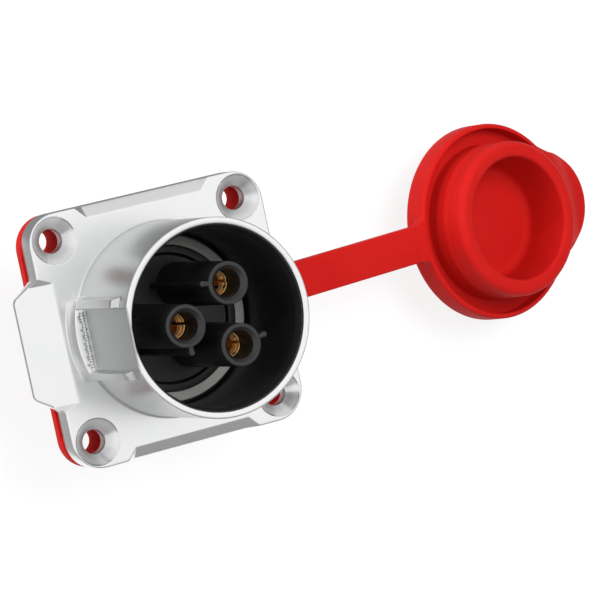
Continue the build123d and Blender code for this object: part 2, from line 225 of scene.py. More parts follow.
# Small mesh tools
def soften(points, radius, steps=5):
    """A closed outline with each corner turned into an arc; a point may carry its own radius."""
    out = []
    count = len(points)
    for i, here in enumerate(points):
        p = Vector(here[:2])
        a = Vector(points[i - 1][:2]) - p
        b = Vector(points[(i + 1) % count][:2]) - p
        wanted = here[2] if len(here) > 2 else radius
        turn = a.angle(b)
        if wanted <= 0 or turn > radians(179):
            out.append(tuple(p))
            continue
        reach = min(wanted / tan(turn / 2), 0.49 * a.length, 0.49 * b.length)
        r = reach * tan(turn / 2)
        middle = p + (a.normalized() + b.normalized()).normalized() * (r / sin(turn / 2))
        start = p + a.normalized() * reach - middle
        end = p + b.normalized() * reach - middle
        sweep = start.angle_signed(end)
        for k in range(steps + 1):
            out.append(tuple(middle + Matrix.Rotation(-sweep * k / steps, 2) @ start))
    return out


def turned(profile, segments=192):
    """Vertices and faces of a closed half section (radius, level) turned about Z."""
    count = len(profile)
    verts, faces = [], []
    for s in range(segments):
        c, d = cos(2 * pi * s / segments), sin(2 * pi * s / segments)
        verts += [(r * c, r * d, z) for r, z in profile]
    for s in range(segments):
        here, there = s * count, (s + 1) % segments * count
        for i in range(count):
            j = (i + 1) % count
            if profile[i][0] > 0 or profile[j][0] > 0:
                faces.append((here + i, there + i, there + j, here + j))
    return verts, faces


def arc(r, z, radius, start, end, count):
    """Points of a section on a round about (r, z), between two angles in degrees."""
    return [(r + radius * cos(a), z + radius * sin(a)) for a in np.radians(np.linspace(start, end, count))]


def bands(rings, count, closed=True, around=False, first=0):
    """Four-cornered faces between neighbouring rings of points, numbered from a first point."""
    faces = []
    for s in range(rings if around else rings - 1):
        here, there = first + s * count, first + (s + 1) % rings * count
        for i in range(count if closed else count - 1):
            j = (i + 1) % count
            faces.append((here + i, there + i, there + j, here + j))
    return faces


def piece(name, parts, material, sharp=40.0, place=None):
    """One mesh object from several closed parts, in metres, smooth up to a sharp angle."""
    mesh = bpy.data.meshes.new(name)
    bm = bmesh.new()
    for verts, faces in parts:
        made = [bm.verts.new(v) for v in verts]
        for face in faces:
            corners = [made[i] for i in dict.fromkeys(face)]
            if len(corners) > 2:
                try:
                    bm.faces.new(corners)
                except ValueError:
                    pass
    bmesh.ops.remove_doubles(bm, verts=bm.verts, dist=1e-4)
    bmesh.ops.recalc_face_normals(bm, faces=bm.faces)
    if place is not None:
        bm.transform(place)
    bm.transform(Matrix.Scale(MM, 4))
    for face in bm.faces:
        face.smooth = True
    bm.to_mesh(mesh)
    bm.free()
    mesh.set_sharp_from_angle(angle=radians(sharp))
    mesh.materials.append(material)
    obj = bpy.data.objects.new(name, mesh)
    bpy.context.scene.collection.objects.link(obj)
    return obj


def geometry_tree(name, inputs):
    """A geometry node tree with named inputs. Returns it with its input sockets, and a function that
    ends it in Realize Instances and Set Material."""
    tree = bpy.data.node_groups.new(name, "GeometryNodeTree")
    first, last = ("Geometry", "NodeSocketGeometry", None), ("Material", "NodeSocketMaterial", None)
    for label, kind, value in [first] + inputs + [last]:
        socket = tree.interface.new_socket(label, in_out="INPUT", socket_type=kind)
        if value is not None:
            socket.default_value = value
    tree.interface.new_socket("Geometry", in_out="OUTPUT", socket_type="NodeSocketGeometry")
    given = node(tree, "NodeGroupInput").outputs

    def finish(instances):
        whole = node(tree, "GeometryNodeRealizeInstances", {}, {"Geometry": instances})
        painted = node(tree, "GeometryNodeSetMaterial", {}, {"Geometry": whole.outputs["Geometry"],
                                                             "Material": given["Material"]})
        node(tree, "NodeGroupOutput", {}, {"Geometry": painted.outputs["Geometry"]})

    return tree, given, finish


def repeat(obj, tree, values):
    """Runs a geometry node tree on a piece and keeps the result as its plain mesh."""
    modifier = obj.modifiers.new(tree.name, "NODES")
    modifier.node_group = tree
    for item in tree.interface.items_tree:
        if item.in_out == "INPUT" and item.name in values:
            modifier[item.identifier] = values[item.name]
    made = obj.evaluated_get(bpy.context.evaluated_depsgraph_get())
    mesh = bpy.data.meshes.new_from_object(made)
    obj.modifiers.remove(modifier)
    obj.data = mesh


def repaint(obj, material, test):
    """Gives a second material to the faces whose middle, in millimetres, passes a test."""
    obj.data.materials.append(material)
    for face in obj.data.polygons:
        if test(*(face.center / MM)):
            face.material_index = len(obj.data.materials) - 1


def circle(radius, count, x=0.0, y=0.0):
    turns = [2 * pi * i / count for i in range(count)]
    return [(x + radius * cos(a), y + radius * sin(a)) for a in turns]


def distance_to_outline(points, outline):
    """Distance of each point to the nearest side of a closed outline."""
    best = np.full(len(points), 1e9)
    for a, b in zip(outline, outline[1:] + outline[:1]):
        a, b = np.array(a), np.array(b)
        side = b - a
        t = np.clip(((points - a) @ side) / max(side @ side, 1e-12), 0, 1)
        best = np.minimum(best, np.hypot(*(points - a - t[:, None] * side).T))
    return best


def inside_outline(points, outline):
    """Which points lie inside a closed outline."""
    x, y = points.T
    inside = np.zeros(len(points), bool)
    for (ax, ay), (bx, by) in zip(outline, outline[1:] + outline[:1]):
        crosses = (ay > y) != (by > y)
        with np.errstate(divide="ignore", invalid="ignore"):
            inside ^= crosses & (x < (bx - ax) * (y - ay) / (by - ay) + ax)
    return inside


def shrunk(outline, distance):
    """A counter-clockwise outline moved inwards by a distance."""
    out = []
    count = len(outline)
    for i, here in enumerate(outline):
        a, p, b = Vector(outline[i - 1]), Vector(here), Vector(outline[(i + 1) % count])
        n = Vector((-(b - a).y, (b - a).x)).normalized()
        out.append(tuple(p + n * distance))
    return out


def divided(outline, spacing):
    """A closed outline with points added along its long sides."""
    out = []
    for a, b in zip(outline, outline[1:] + outline[:1]):
        a, b = Vector(a), Vector(b)
        count = max(1, round((b - a).length / spacing))
        out += [tuple(a.lerp(b, i / count)) for i in range(count)]
    return out


def plate(outline, holes, top, bottom, edge, hole_edge, spacing=None, marks=()):
    """A plate with holes whose top follows a height function. Its upper edge and hole mouths are
    rounded over; a spacing fills the top with a grid, and marks add points where the shape has a crease."""
    steps = (0.0, 0.12, 0.35, 0.65, 1.0)
    rings = [shrunk(outline, edge * s) for s in steps]
    loops = [rings[0]] + [circle(r, n, x, y) for x, y, r, n in holes]
    points = [p for ring in rings for p in ring]
    for x, y, r, n in holes:
        for s in steps:
            points += circle(r + hole_edge * s, n, x, y)
    if spacing:
        grid = np.array([(x, y) for x in np.arange(*GRID_X, spacing) for y in np.arange(*GRID_Y, spacing)])
        keep = inside_outline(grid, outline) & (distance_to_outline(grid, outline) > edge + 0.6 * spacing)
        for x, y, r, n in holes:
            keep &= np.hypot(grid[:, 0] - x, grid[:, 1] - y) > r + hole_edge + 0.6 * spacing
        if len(marks):
            marks = np.array(marks)
            off_edge = distance_to_outline(marks, outline) > edge + 0.02
            marks = marks[inside_outline(marks, outline) & off_edge]
            for start in range(0, len(grid), 2000):
                part = grid[start:start + 2000]
                gap = np.hypot(part[:, None, 0] - marks[:, 0], part[:, None, 1] - marks[:, 1]).min(1)
                keep[start:start + 2000] &= gap > 0.4 * spacing
            points += [tuple(p) for p in marks]
        points += [tuple(p) for p in grid[keep]]
    flat = [Vector(p) for p in points]
    index = {}
    for i, p in enumerate(flat):
        index.setdefault((round(p.x, 5), round(p.y, 5)), i)
    bounds = []
    for loop in loops:
        ids = [index[(round(x, 5), round(y, 5))] for x, y in loop]
        bounds += list(zip(ids, ids[1:] + ids[:1]))
    verts, _, faces, _, _, _ = delaunay_2d_cdt(flat, bounds, [], 1, 1e-6)
    co = np.array([tuple(v) for v in verts])
    middles = np.array([co[list(f)].mean(0) for f in faces])
    keep = inside_outline(middles, outline)
    for x, y, r, n in holes:
        keep &= np.hypot(middles[:, 0] - x, middles[:, 1] - y) > r * cos(pi / n)
    faces = [f for f, k in zip(faces, keep) if k]
    level = top(co[:, 0], co[:, 1])
    room = np.minimum(edge, 0.45 * (level - bottom))
    d = np.minimum(distance_to_outline(co, outline), edge) / edge
    level = level - room * (1 - np.sqrt(np.clip(1 - (1 - d) ** 2, 0, 1)))
    for x, y, r, n in holes:
        d = np.clip((np.hypot(co[:, 0] - x, co[:, 1] - y) - r) / hole_edge, 0, 1)
        level = level - hole_edge * (1 - np.sqrt(np.clip(1 - (1 - d) ** 2, 0, 1)))
    upper = [(x, y, z) for (x, y), z in zip(co, level)]
    lower = [(x, y, bottom) for x, y in co]
    count = len(upper)
    sides = {}
    for f in faces:
        for a, b in zip(f, f[1:] + f[:1]):
            if (b, a) in sides:
                del sides[(b, a)]
            else:
                sides[(a, b)] = True
    walls = [(a, a + count, b + count, b) for a, b in sides]
    under = [tuple(i + count for i in reversed(f)) for f in faces]
    return upper + lower, [tuple(f) for f in faces] + under + walls


def blend_min(a, b, width):
    """The lower of two heights, with the edge between them rounded over a width."""
    h = np.clip(0.5 + 0.5 * (b - a) / width, 0, 1)
    return b * (1 - h) + a * h - width * h * (1 - h)


def smooth_step(value, width):
    t = np.clip(0.5 + value / width, 0, 1)
    return t * t * (3 - 2 * t)


# Colours and materials
def srgb(hex_colour):
    """A linear colour from an sRGB hex value."""
    value = hex_colour.lstrip("#")
    channels = [int(value[i:i + 2], 16) / 255 for i in (0, 2, 4)]
    return tuple(c / 12.92 if c <= 0.04045 else ((c + 0.055) / 1.055) ** 2.4 for c in channels) + (1.0,)


def node(tree, kind, settings=None, links=None):
    """Adds a node, sets its properties and inputs, and links sockets into it."""
    made = tree.nodes.new(kind)
    for key, value in (settings or {}).items():
        if isinstance(key, str) and hasattr(made, key):
            setattr(made, key, value)
        else:
            made.inputs[key].default_value = value
    for key, source in (links or {}).items():
        tree.links.new(source, made.inputs[key])
    return made


def material(name, **settings):
    """A new material, and its surface: the node tree, the Principled shader and the object coordinates."""
    made = bpy.data.materials.new(name)
    made.use_nodes = True
    shader = made.node_tree.nodes["Principled BSDF"]
    for key, value in settings.items():
        shader.inputs[key.replace("_", " ")].default_value = value
    place = node(made.node_tree, "ShaderNodeTexCoord").outputs["Object"]
    return made, (made.node_tree, shader, place)


def drift(surface, size_mm, low, high, detail=3.0, grit=0.5):
    """A value that drifts between two in patches of about a size. Few points of the noise lie outside
    its middle part, from 0.3 to 0.7, so that part gives the whole range."""
    tree, shader, place = surface
    settings = {"Scale": 1000 / size_mm, "Detail": detail, "Roughness": grit}
    patches = node(tree, "ShaderNodeTexNoise", settings, {"Vector": place})
    limits = {"From Min": 0.3, "From Max": 0.7, "To Min": low, "To Max": high}
    return node(tree, "ShaderNodeMapRange", limits, {"Value": patches.outputs["Fac"]}).outputs["Result"]


def two_tone(surface, share, first, second):
    """Colours the surface between two sRGB values, by a value from 0 to 1."""
    tree, shader, place = surface
    mix = node(tree, "ShaderNodeMix", {"data_type": "RGBA", 6: srgb(first), 7: srgb(second)}, {0: share})
    tree.links.new(mix.outputs[2], shader.inputs["Base Color"])


def blasted(surface, size_mm, depth_mm, detail=3.0, grit=0.5):
    """Roughens the surface with a grain of a size and depth, as a blasted mould or shot leaves it."""
    tree, shader, place = surface
    settings = {"Scale": 1000 / size_mm, "Detail": detail, "Roughness": grit}
    grain = node(tree, "ShaderNodeTexNoise", settings, {"Vector": place})
    bump = node(tree, "ShaderNodeBump", {"Strength": 1.0, "Distance": depth_mm * MM},
                {"Height": grain.outputs["Fac"]})
    tree.links.new(bump.outputs["Normal"], shader.inputs["Normal"])


def tooled(surface, at, spacing_mm, depth_mm, strength, pattern):
    """Waves that a tool left, with crests a spacing apart. Returns their height, from 0 to 1."""
    tree, shader, place = surface
    settings = {"Scale": pi / 10 / (spacing_mm * MM), **pattern}
    waves = node(tree, "ShaderNodeTexWave", settings, {"Vector": at})
    bump = node(tree, "ShaderNodeBump", {"Strength": strength, "Distance": depth_mm * MM},
                {"Height": waves.outputs["Fac"]})
    tree.links.new(bump.outputs["Normal"], shader.inputs["Normal"])
    return waves.outputs["Fac"]


def nickel_plated_casting():
    # Zinc die casting, shot-blasted and nickel plated: a bright metal with a fine pearly grain
    made, surface = material("nickel_plated_zinc_casting", Metallic=1.0)
    tree, shader, place = surface
    two_tone(surface, drift(surface, 4.0, 0, 1), "#F3F4F4", "#F8F8F8")
    patches, grain = drift(surface, 4.0, 0.28, 0.31), drift(surface, 0.3, -0.012, 0.012, 3.0, 0.6)
    rough = node(tree, "ShaderNodeMath", {"operation": "ADD"}, {0: patches, 1: grain})
    tree.links.new(rough.outputs[0], shader.inputs["Roughness"])
    blasted(surface, 0.3, 0.0007, 3.0, 0.6)
    return made


def nickel_on_drawn_wall():
    # The same plating on the shell's walls, a little duller, and greyer: the grey is painted shade on the
    # walls
    made, surface = material("nickel_plating_painted_shaded_walls", Metallic=1.0)
    tree, shader, place = surface
    two_tone(surface, drift(surface, 4.0, 0, 1), "#D3D4D5", "#D8D9D9")
    tree.links.new(drift(surface, 4.0, 0.3, 0.34), shader.inputs["Roughness"])
    blasted(surface, 0.3, 0.0007, 3.0, 0.6)
    return made


def turned_countersink():
    # The same plating over a cone turned by a countersink. The tool's rings, 0.1 mm apart, are too fine
    # to draw: they stretch the reflections across themselves, and only a ripple 1.9 mm apart is drawn
    made, surface = material("nickel_over_turned_cone", Metallic=1.0, Anisotropic=0.9)
    tree, shader, place = surface
    quarter = node(tree, "ShaderNodeVectorMath", {"operation": "ABSOLUTE"}, {0: place})
    at_hole = node(tree, "ShaderNodeMapping", {"Location": (-SCREW_PLACE * MM, -SCREW_PLACE * MM, 0)},
                   {"Vector": quarter.outputs[0]}).outputs[0]
    ripple = tooled(surface, at_hole, 1.9, 0.008, 0.8,
                    {"wave_type": "RINGS", "rings_direction": "Z", "Distortion": 0.3})
    two_tone(surface, ripple, "#E2E3E4", "#FAFAFA")
    rough = node(tree, "ShaderNodeMapRange", {"To Min": 0.28, "To Max": 0.36}, {"Value": ripple})
    tree.links.new(rough.outputs["Result"], shader.inputs["Roughness"])
    side = node(tree, "ShaderNodeVectorMath", {"operation": "SIGN"}, {0: place})
    outwards = node(tree, "ShaderNodeVectorMath", {"operation": "MULTIPLY"},
                    {0: at_hole, 1: side.outputs[0]})
    tree.links.new(outwards.outputs[0], shader.inputs["Tangent"])
    return made


def burnished_edge():
    # The countersink's outer edge, burnished by the tool as it stops: much smoother than the casting, and
    # darker in colour: the darker colour is painted shade that deepens the dark ring round each countersink
    made, surface = material("burnished_nickel_edge", Metallic=1.0, Roughness=0.1)
    two_tone(surface, drift(surface, 0.6, 0, 1), "#DCDDDE", "#E4E5E5")
    return made


def milled_zinc():
    # The casting where a cutter has been and in the depth of the screw holes: flatter, with faint waves
    # where the cutter's passes met,
    # 1.6 mm apart. Its greyer colour is painted shade in the recess and the holes
    made, surface = material("milled_zinc_painted_shaded", Metallic=1.0)
    tree, shader, place = surface
    two_tone(surface, drift(surface, 1.5, 0, 1), "#C6C7C8", "#CDCECF")
    tree.links.new(drift(surface, 1.5, 0.42, 0.5), shader.inputs["Roughness"])
    tooled(surface, place, 1.6, 0.003, 0.4, {"bands_direction": "Y", "Distortion": 2.0, "Detail": 2.0})
    return made


def glass_filled_nylon():
    # Black glass-filled nylon, injection moulded: a dry satin with faint flow marks
    made, surface = material("black_glass_filled_nylon", IOR=1.6)
    tree, shader, place = surface
    two_tone(surface, drift(surface, 3.0, 0, 1), "#111113", "#19191B")
    tree.links.new(drift(surface, 0.18, 0.36, 0.5, 4.0, 0.6), shader.inputs["Roughness"])
    blasted(surface, 0.18, 0.008, 4.0, 0.6)
    return made


def grey_rubber():
    # Grey fluorosilicone seal, moulded: dull, with a slight bloom
    made, surface = material("grey_fluorosilicone", IOR=1.41)
    tree, shader, place = surface
    two_tone(surface, drift(surface, 1.4, 0, 1), "#A6A6A2", "#AFAFAB")
    tree.links.new(drift(surface, 1.4, 0.5, 0.62), shader.inputs["Roughness"])
    blasted(surface, 0.2, 0.006)
    return made


def red_silicone():
    # Red silicone rubber from a lightly blasted mould: a soft sheen over a very fine grain
    made, surface = material("red_silicone_rubber", IOR=1.42, Specular_IOR_Level=0.14)
    tree, shader, place = surface
    two_tone(surface, drift(surface, 6.0, 0, 1), "#BE1815", "#C41C18")
    tree.links.new(drift(surface, 0.2, 0.52, 0.62, 4.0, 0.6), shader.inputs["Roughness"])
    blasted(surface, 0.2, 0.006, 4.0, 0.6)
    return made


def silicone_in_holes():
    # The same silicone where matt core pins shaped the holes: hardly any sheen. Its red is a little brighter
    # than the rest: painted light inside the holes
    made, surface = material("red_silicone_off_matt_pins", IOR=1.42, Specular_IOR_Level=0.06, Roughness=0.7)
    two_tone(surface, drift(surface, 6.0, 0, 1), "#C4160F", "#CC1912")
    return made


def gold_plated_brass():
    # Gold flash over brass: warm and bright. The spring louvres inside the mouths are bumps
    made, surface = material("gold_plated_brass", Metallic=1.0, Roughness=0.35)
    tree, shader, place = surface
    two_tone(surface, drift(surface, 1.0, 0, 1), "#FFC97F", "#FFD796")
    height = node(tree, "ShaderNodeSeparateXYZ", {}, {0: place}).outputs["Z"]
    limits = {"From Min": LOUVRES_START * MM, "From Max": (LOUVRES_START + 1) * MM, "To Min": 0.04}
    inside = node(tree, "ShaderNodeMapRange", limits, {"Value": height})
    louvres = node(tree, "ShaderNodeTexNoise", {"Scale": 1000 / 0.7, "Detail": 1.0}, {"Vector": place})
    bump = node(tree, "ShaderNodeBump", {"Distance": 0.1 * MM},
                {"Height": louvres.outputs["Fac"], "Strength": inside.outputs["Result"]})
    tree.links.new(bump.outputs["Normal"], shader.inputs["Normal"])
    return made


def zinc_plated_steel():
    # Small steel parts, zinc plated: bluish grey and slightly mottled
    made, surface = material("zinc_plated_steel", Metallic=1.0)
    tree, shader, place = surface
    two_tone(surface, drift(surface, 0.7, 0, 1), "#A3A6AA", "#BCBFC2")
    tree.links.new(drift(surface, 0.7, 0.3, 0.42), shader.inputs["Roughness"])
    blasted(surface, 0.7, 0.006)
    return made


def nickel_plated_brass():
    # Turned brass nut, nickel plated: warmer than the casting, with a ripple from turning, 0.9 mm
    # apart, on its faces
    made, surface = material("nickel_plated_brass", Metallic=1.0, Roughness=0.3)
    place = surface[2]
    two_tone(surface, drift(surface, 2.0, 0, 1), "#CFCAB9", "#DCD8CA")
    tooled(surface, place, 0.9, 0.004, 0.5, {"wave_type": "RINGS", "rings_direction": "Z"})
    return made


casting = nickel_plated_casting()
shaded_wall = nickel_on_drawn_wall()
countersunk = turned_countersink()
burnished = burnished_edge()
milled_with_shade = milled_zinc()
nylon = glass_filled_nylon()
grey_seal = grey_rubber()
silicone = red_silicone()
matt_silicone = silicone_in_holes()
gold = gold_plated_brass()
steel = zinc_plated_steel()
plated_brass = nickel_plated_brass()


# Housing
def flange_outline():
    side = HALF_SIDE
    step = TAB_REACH * 0.9
    nose = (TAB_REACH - step) * 2
    tip = -side - TAB_REACH
    up, down = TAB_MIDDLE + TAB_ROOT_HALF, TAB_MIDDLE - TAB_ROOT_HALF
    high, low = TAB_MIDDLE + TAB_TIP_HALF, TAB_MIDDLE - TAB_TIP_HALF
    corner = FLANGE_CORNER
    points = [
        (side, -side, corner), (side, side, corner), (-side, side, corner),
        (-side, up, 1.0), (-side - step, high, 0.9), (tip, high - nose, 0.9),
        (tip, low + nose, 0.9), (-side - step, low, 0.9), (-side, down, 1.0),
        (-side, -side, corner),
    ]
    return soften(points, 0.5, 12)


def flange_top(x, y):
    """Level of the flange's front: the face, cut by the long bevels, the sloped tab and the countersinks."""
    level = np.full_like(x, FLANGE_FRONT)
    fall = FLANGE_FRONT - (np.abs(y) - HALF_SIDE + BEVEL_WIDTH) * tan(BEVEL_SLOPE)
    ends = np.maximum(0, np.abs(x) - BEVEL_HALF_LENGTH) / (tan(BEVEL_END_DRAFT) * cos(BEVEL_SLOPE))
    level = blend_min(level, fall + ends, BEVEL_ROUND)
    fall = FLANGE_FRONT - (-x - TAB_RIDGE) * tan(TAB_SLOPE)
    ends = np.maximum(0, np.abs(y - TAB_MIDDLE) - TAB_SLOPE_HALF) / (tan(TAB_END_DRAFT) * cos(TAB_SLOPE))
    level = blend_min(level, fall + ends, TAB_ROUND)
    steepness = SCREW_HEAD_DEPTH / (SCREW_HEAD - SCREW_HOLE)
    for screw_x, screw_y in SCREWS:
        r = np.hypot(x - screw_x, y - screw_y)
        cone = FLANGE_FRONT - SCREW_HEAD_DEPTH + (r - SCREW_HOLE) * steepness
        level = blend_min(level, cone, SCREW_HEAD_ROUND)
    return level


def crease(start, end, offsets=(-0.11, -0.04, 0.04, 0.11), spacing=0.16):
    """Points on both sides of a line, so that an edge along it stays crisp."""
    a, b = Vector(start), Vector(end)
    along = (b - a).normalized()
    across = Vector((-along.y, along.x))
    count = max(2, int((b - a).length / spacing))
    return [tuple(a + (b - a) * i / count + across * o) for i in range(count + 1) for o in offsets]


def flange_creases():
    """Where the flange's front changes slope: round the countersinks, along the bevels and the tab."""
    points = []
    for x, y in SCREWS:
        for r in CONE_RINGS + tuple(SCREW_HEAD + step for step in CONE_EDGE_STEPS):
            points += circle(r, 108, x, y)
    inner, outer = HALF_SIDE - BEVEL_WIDTH, HALF_SIDE
    flare = BEVEL_WIDTH * sin(BEVEL_SLOPE) * tan(BEVEL_END_DRAFT)
    for sy in (-1, 1):
        points += crease((-BEVEL_HALF_LENGTH, sy * inner), (BEVEL_HALF_LENGTH, sy * inner))
        for sx in (-1, 1):
            end = sx * BEVEL_HALF_LENGTH
            points += crease((end, sy * (inner + 0.15)), (end, sy * outer))
            points += crease((end + sx * 0.1, sy * (inner + 0.1)), (end + sx * flare, sy * outer))
    high, low = TAB_MIDDLE + TAB_SLOPE_HALF, TAB_MIDDLE - TAB_SLOPE_HALF
    points += crease((-TAB_RIDGE, low), (-TAB_RIDGE, high))
    flare = (HALF_SIDE - TAB_RIDGE) * sin(TAB_SLOPE) * tan(TAB_END_DRAFT)
    for level, side in ((high, 1), (low, -1)):
        points += crease((-TAB_RIDGE - 0.15, level), (-HALF_SIDE - 1.0, level))
        points += crease((-TAB_RIDGE - 0.1, level + side * 0.1), (-HALF_SIDE, level + side * flare))
    return points


def flange_part():
    holes = [(x, y, SCREW_HOLE, HOLE_SIDES) for x, y in SCREWS]
    holes.append((0, 0, (SHELL + SHELL_BORE) / 2, 120))
    outline = divided(flange_outline(), 0.2)
    return plate(outline, holes, flange_top, FLANGE_BACK, FLANGE_EDGE, SCREW_HOLE_EDGE,
                 spacing=0.3, marks=flange_creases())


def shell_columns():
    """Directions of the shell's columns: straight across the latch housing, radial elsewhere."""
    edge = LATCH_HALF + 1.4
    fine = [side * (at + step)
            for side in (-1, 1) for at in (RECESS_HALF, LATCH_HALF) for step in EDGE_STEPS]
    across = sorted(set(np.round(np.concatenate([np.linspace(-edge, edge, 45), fine]), 4)))
    start = asin(edge / SHELL)
    around = np.linspace(start, 2 * pi - start, 168)[1:-1]
    columns = [(-sqrt(SHELL ** 2 - y * y), y, True) for y in reversed(across)]
    columns += [(SHELL * cos(pi + a), SHELL * sin(pi + a), False) for a in around]
    return columns


def shell_levels():
    """Levels of the shell's rows, close together at its root, at the latch's edges and at the rim."""
    levels = [SHELL_FOOT, FLANGE_FRONT - 0.3]
    levels += [FLANGE_FRONT + step for step in (0.0, 0.06, 0.13, 0.22, 0.34, 0.48, 0.65, 0.9)]
    levels += [RECESS_START - 0.6, RECESS_START - 0.4]
    levels += [RECESS_START + step for step in EDGE_STEPS + (0.38, 0.46, 0.55, 0.65)]
    levels += list(np.linspace(RECESS_START + 0.9, LATCH_TOP - 0.8, 9))
    levels += [LATCH_TOP + step for step in EDGE_STEPS]
    levels += list(np.linspace(LATCH_TOP + 0.8, RIM - 0.5, 4))
    return np.array(levels + [RIM - step for step in (RIM_ROUND, 0.15, 0.09, 0.04, 0.01, 0.0)])


def shell_part():
    """The round shell with its latch housing, as one skin: up the outside, over the rim, down the bore."""
    levels = shell_levels()
    over = np.clip((levels - (RIM - RIM_ROUND)) / RIM_ROUND, 0, 1)
    over = RIM_ROUND * (1 - np.sqrt(np.clip(1 - over ** 2, 0, 1)))
    root = np.clip((FLANGE_FRONT + SHELL_ROOT - levels) / SHELL_ROOT, 0, 1.6)
    root = SHELL_ROOT * 0.6 * root ** 2
    flare = np.clip((RECESS_START - levels) / (RECESS_START - FLANGE_FRONT), 0, 1.2)
    flare = LATCH_FLARE * flare + 0.4 * root
    corner_groove = RECESS_GROOVE * np.exp(-((levels - RECESS_GROOVE_MIDDLE) / RECESS_GROOVE_HALF) ** 2)
    bore = [(SHELL_BORE + 0.16, RIM), (SHELL_BORE + 0.1, RIM - 0.03), (SHELL_BORE + 0.03, RIM - 0.1),
            (SHELL_BORE, RIM - 0.2), (SHELL_BORE, SHELL_FOOT)]
    verts = []
    for cx, cy, across in shell_columns():
        angle = atan2(cy, cx)
        if across:
            y = cy
            round_x = sqrt(SHELL ** 2 - y * y) + root / cos(angle - pi)
            latch_x = sqrt(LATCH ** 2 - y * y) + flare
            housing = smooth_step(LATCH_HALF - abs(y), LATCH_ROUND)
            housing = housing * smooth_step(LATCH_TOP - levels, LATCH_TOP_ROUND)
            out = round_x + (latch_x - round_x) * housing
            recess = smooth_step(RECESS_HALF - abs(y), RECESS_ROUND)
            recess = recess * smooth_step(levels - RECESS_START, RECESS_LEDGE_ROUND)
            floor = np.minimum(RECESS_FLOOR - corner_groove, out)
            out = out + (floor - out) * recess - over
            verts += [(-x, y, z) for x, z in zip(out, levels)]
        else:
            out = SHELL + root - over
            verts += [(r * cos(angle), r * sin(angle), z) for r, z in zip(out, levels)]
        verts += [(r * cos(angle), r * sin(angle), z) for r, z in bore]
    count = len(levels) + len(bore)
    return verts, bands(len(verts) // count, count, around=True)


def neck_part():
    """The rear neck, with its shoulder, the step that centres the gasket and the clip's groove."""
    profile = [
        (SHOULDER_BORE, 0.0), (SHOULDER_BORE, SHOULDER, 0.1), (SHOULDER_EDGE, SHOULDER),
        (SHOULDER_EDGE, FLANGE_BACK + 0.1), (GASKET_SEAT, FLANGE_BACK + 0.1), (GASKET_SEAT, 0.0, 0.15),
        (NECK, 0.0, 0.05), (NECK, NECK_END, 0.3), (NECK_BORE, NECK_END, 0.3), (NECK_BORE, CLIP_BACK, 0.05),
        (CLIP_GROOVE, CLIP_BACK, 0.05), (CLIP_GROOVE, CLIP_FRONT, 0.05), (NECK_BORE, CLIP_FRONT, 0.05),
        (NECK_BORE, 0.0, 0.2),
    ]
    return turned(soften(profile, 0.0, 4), 160)


def chatter_tree():
    """Geometry nodes that set a row of small ridges, uneven in size, along a line."""
    tree, given, finish = geometry_tree("chatter_marks", [
        ("Count", "NodeSocketInt", 10), ("Start", "NodeSocketVector", (0, 0, 0)),
        ("Step", "NodeSocketVector", (0, 0.001, 0)), ("Seed", "NodeSocketInt", 3)])
    row = node(tree, "GeometryNodeMeshLine", {}, {"Count": given["Count"], "Start Location": given["Start"],
                                                  "Offset": given["Step"]})
    size = node(tree, "FunctionNodeRandomValue", {"data_type": "FLOAT_VECTOR"}, {"Seed": given["Seed"]})
    size.inputs["Min"].default_value = (0.5, 0.7, 0.5)
    size.inputs["Max"].default_value = (1.2, 1.1, 1.3)
    copies = node(tree, "GeometryNodeInstanceOnPoints", {}, {
        "Points": row.outputs["Mesh"], "Instance": given["Geometry"], "Scale": size.outputs["Value"]})
    finish(copies.outputs["Instances"])
    return tree


def chatter_part(out):
    """One ridge left by the cutter: a small low dome, longer across the corner than along it."""
    rings, sides = 4, 10
    verts = [(-out, 0.0, CHATTER_HEIGHT)]
    for i in range(1, rings + 1):
        lean = pi / 2 * i / rings
        verts += [(CHATTER_HALF_OUT * x - out, CHATTER_HALF_LENGTH * y, CHATTER_HEIGHT * cos(lean))
                  for x, y in circle(sin(lean), sides)]
    faces = [(0, 1 + k, 1 + (k + 1) % sides) for k in range(sides)]
    faces += bands(rings, sides, first=1)
    faces.append(tuple(reversed(range(1 + (rings - 1) * sides, 1 + rings * sides))))
    return verts, faces


def on_recess_floor(x, y, z):
    return abs(x + RECESS_FLOOR) < 0.25 and abs(y) < RECESS_HALF and z > RECESS_START


def on_drawn_wall(x, y, z):
    """The outer walls of the shell and of the latch housing, down to the recess's ledge."""
    outside = hypot(x, y) > SHELL_BORE + 0.25 and FLANGE_FRONT + 0.1 < z < RIM - 0.2
    return outside and (abs(y) > LATCH_HALF + 0.2 or x > 0 or z > RECESS_START + 0.2)


def from_screw(x, y):
    """Distance from the axis of the nearest screw hole."""
    return hypot(abs(x) - SCREW_PLACE, abs(y) - SCREW_PLACE)


housing = piece("die_cast_housing", [flange_part(), shell_part(), neck_part()], casting, 50)
# Painted shade: the shell's outer walls take the greyer copy of the plating
repaint(housing, shaded_wall, on_drawn_wall)
# Painted shade: the recess floor takes the greyer milled colour
repaint(housing, milled_with_shade, on_recess_floor)
# Painted shade: a darker colour on the countersinks' outer edges
repaint(housing, burnished, lambda x, y, z: from_screw(x, y) < SCREW_HEAD + BURNISHED_HALF)
repaint(housing, countersunk, lambda x, y, z: from_screw(x, y) < SCREW_HEAD - BURNISHED_HALF)
# Painted shade: the screw holes' walls take the greyer milled colour
repaint(housing, milled_with_shade, lambda x, y, z: from_screw(x, y) < SCREW_HOLE + 0.02)
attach(housing, "root")
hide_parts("housing")

chatter_count = int(2 * (RECESS_HALF - 0.25) / CHATTER_STEP)
chatter_start = -CHATTER_STEP * (chatter_count - 1) / 2
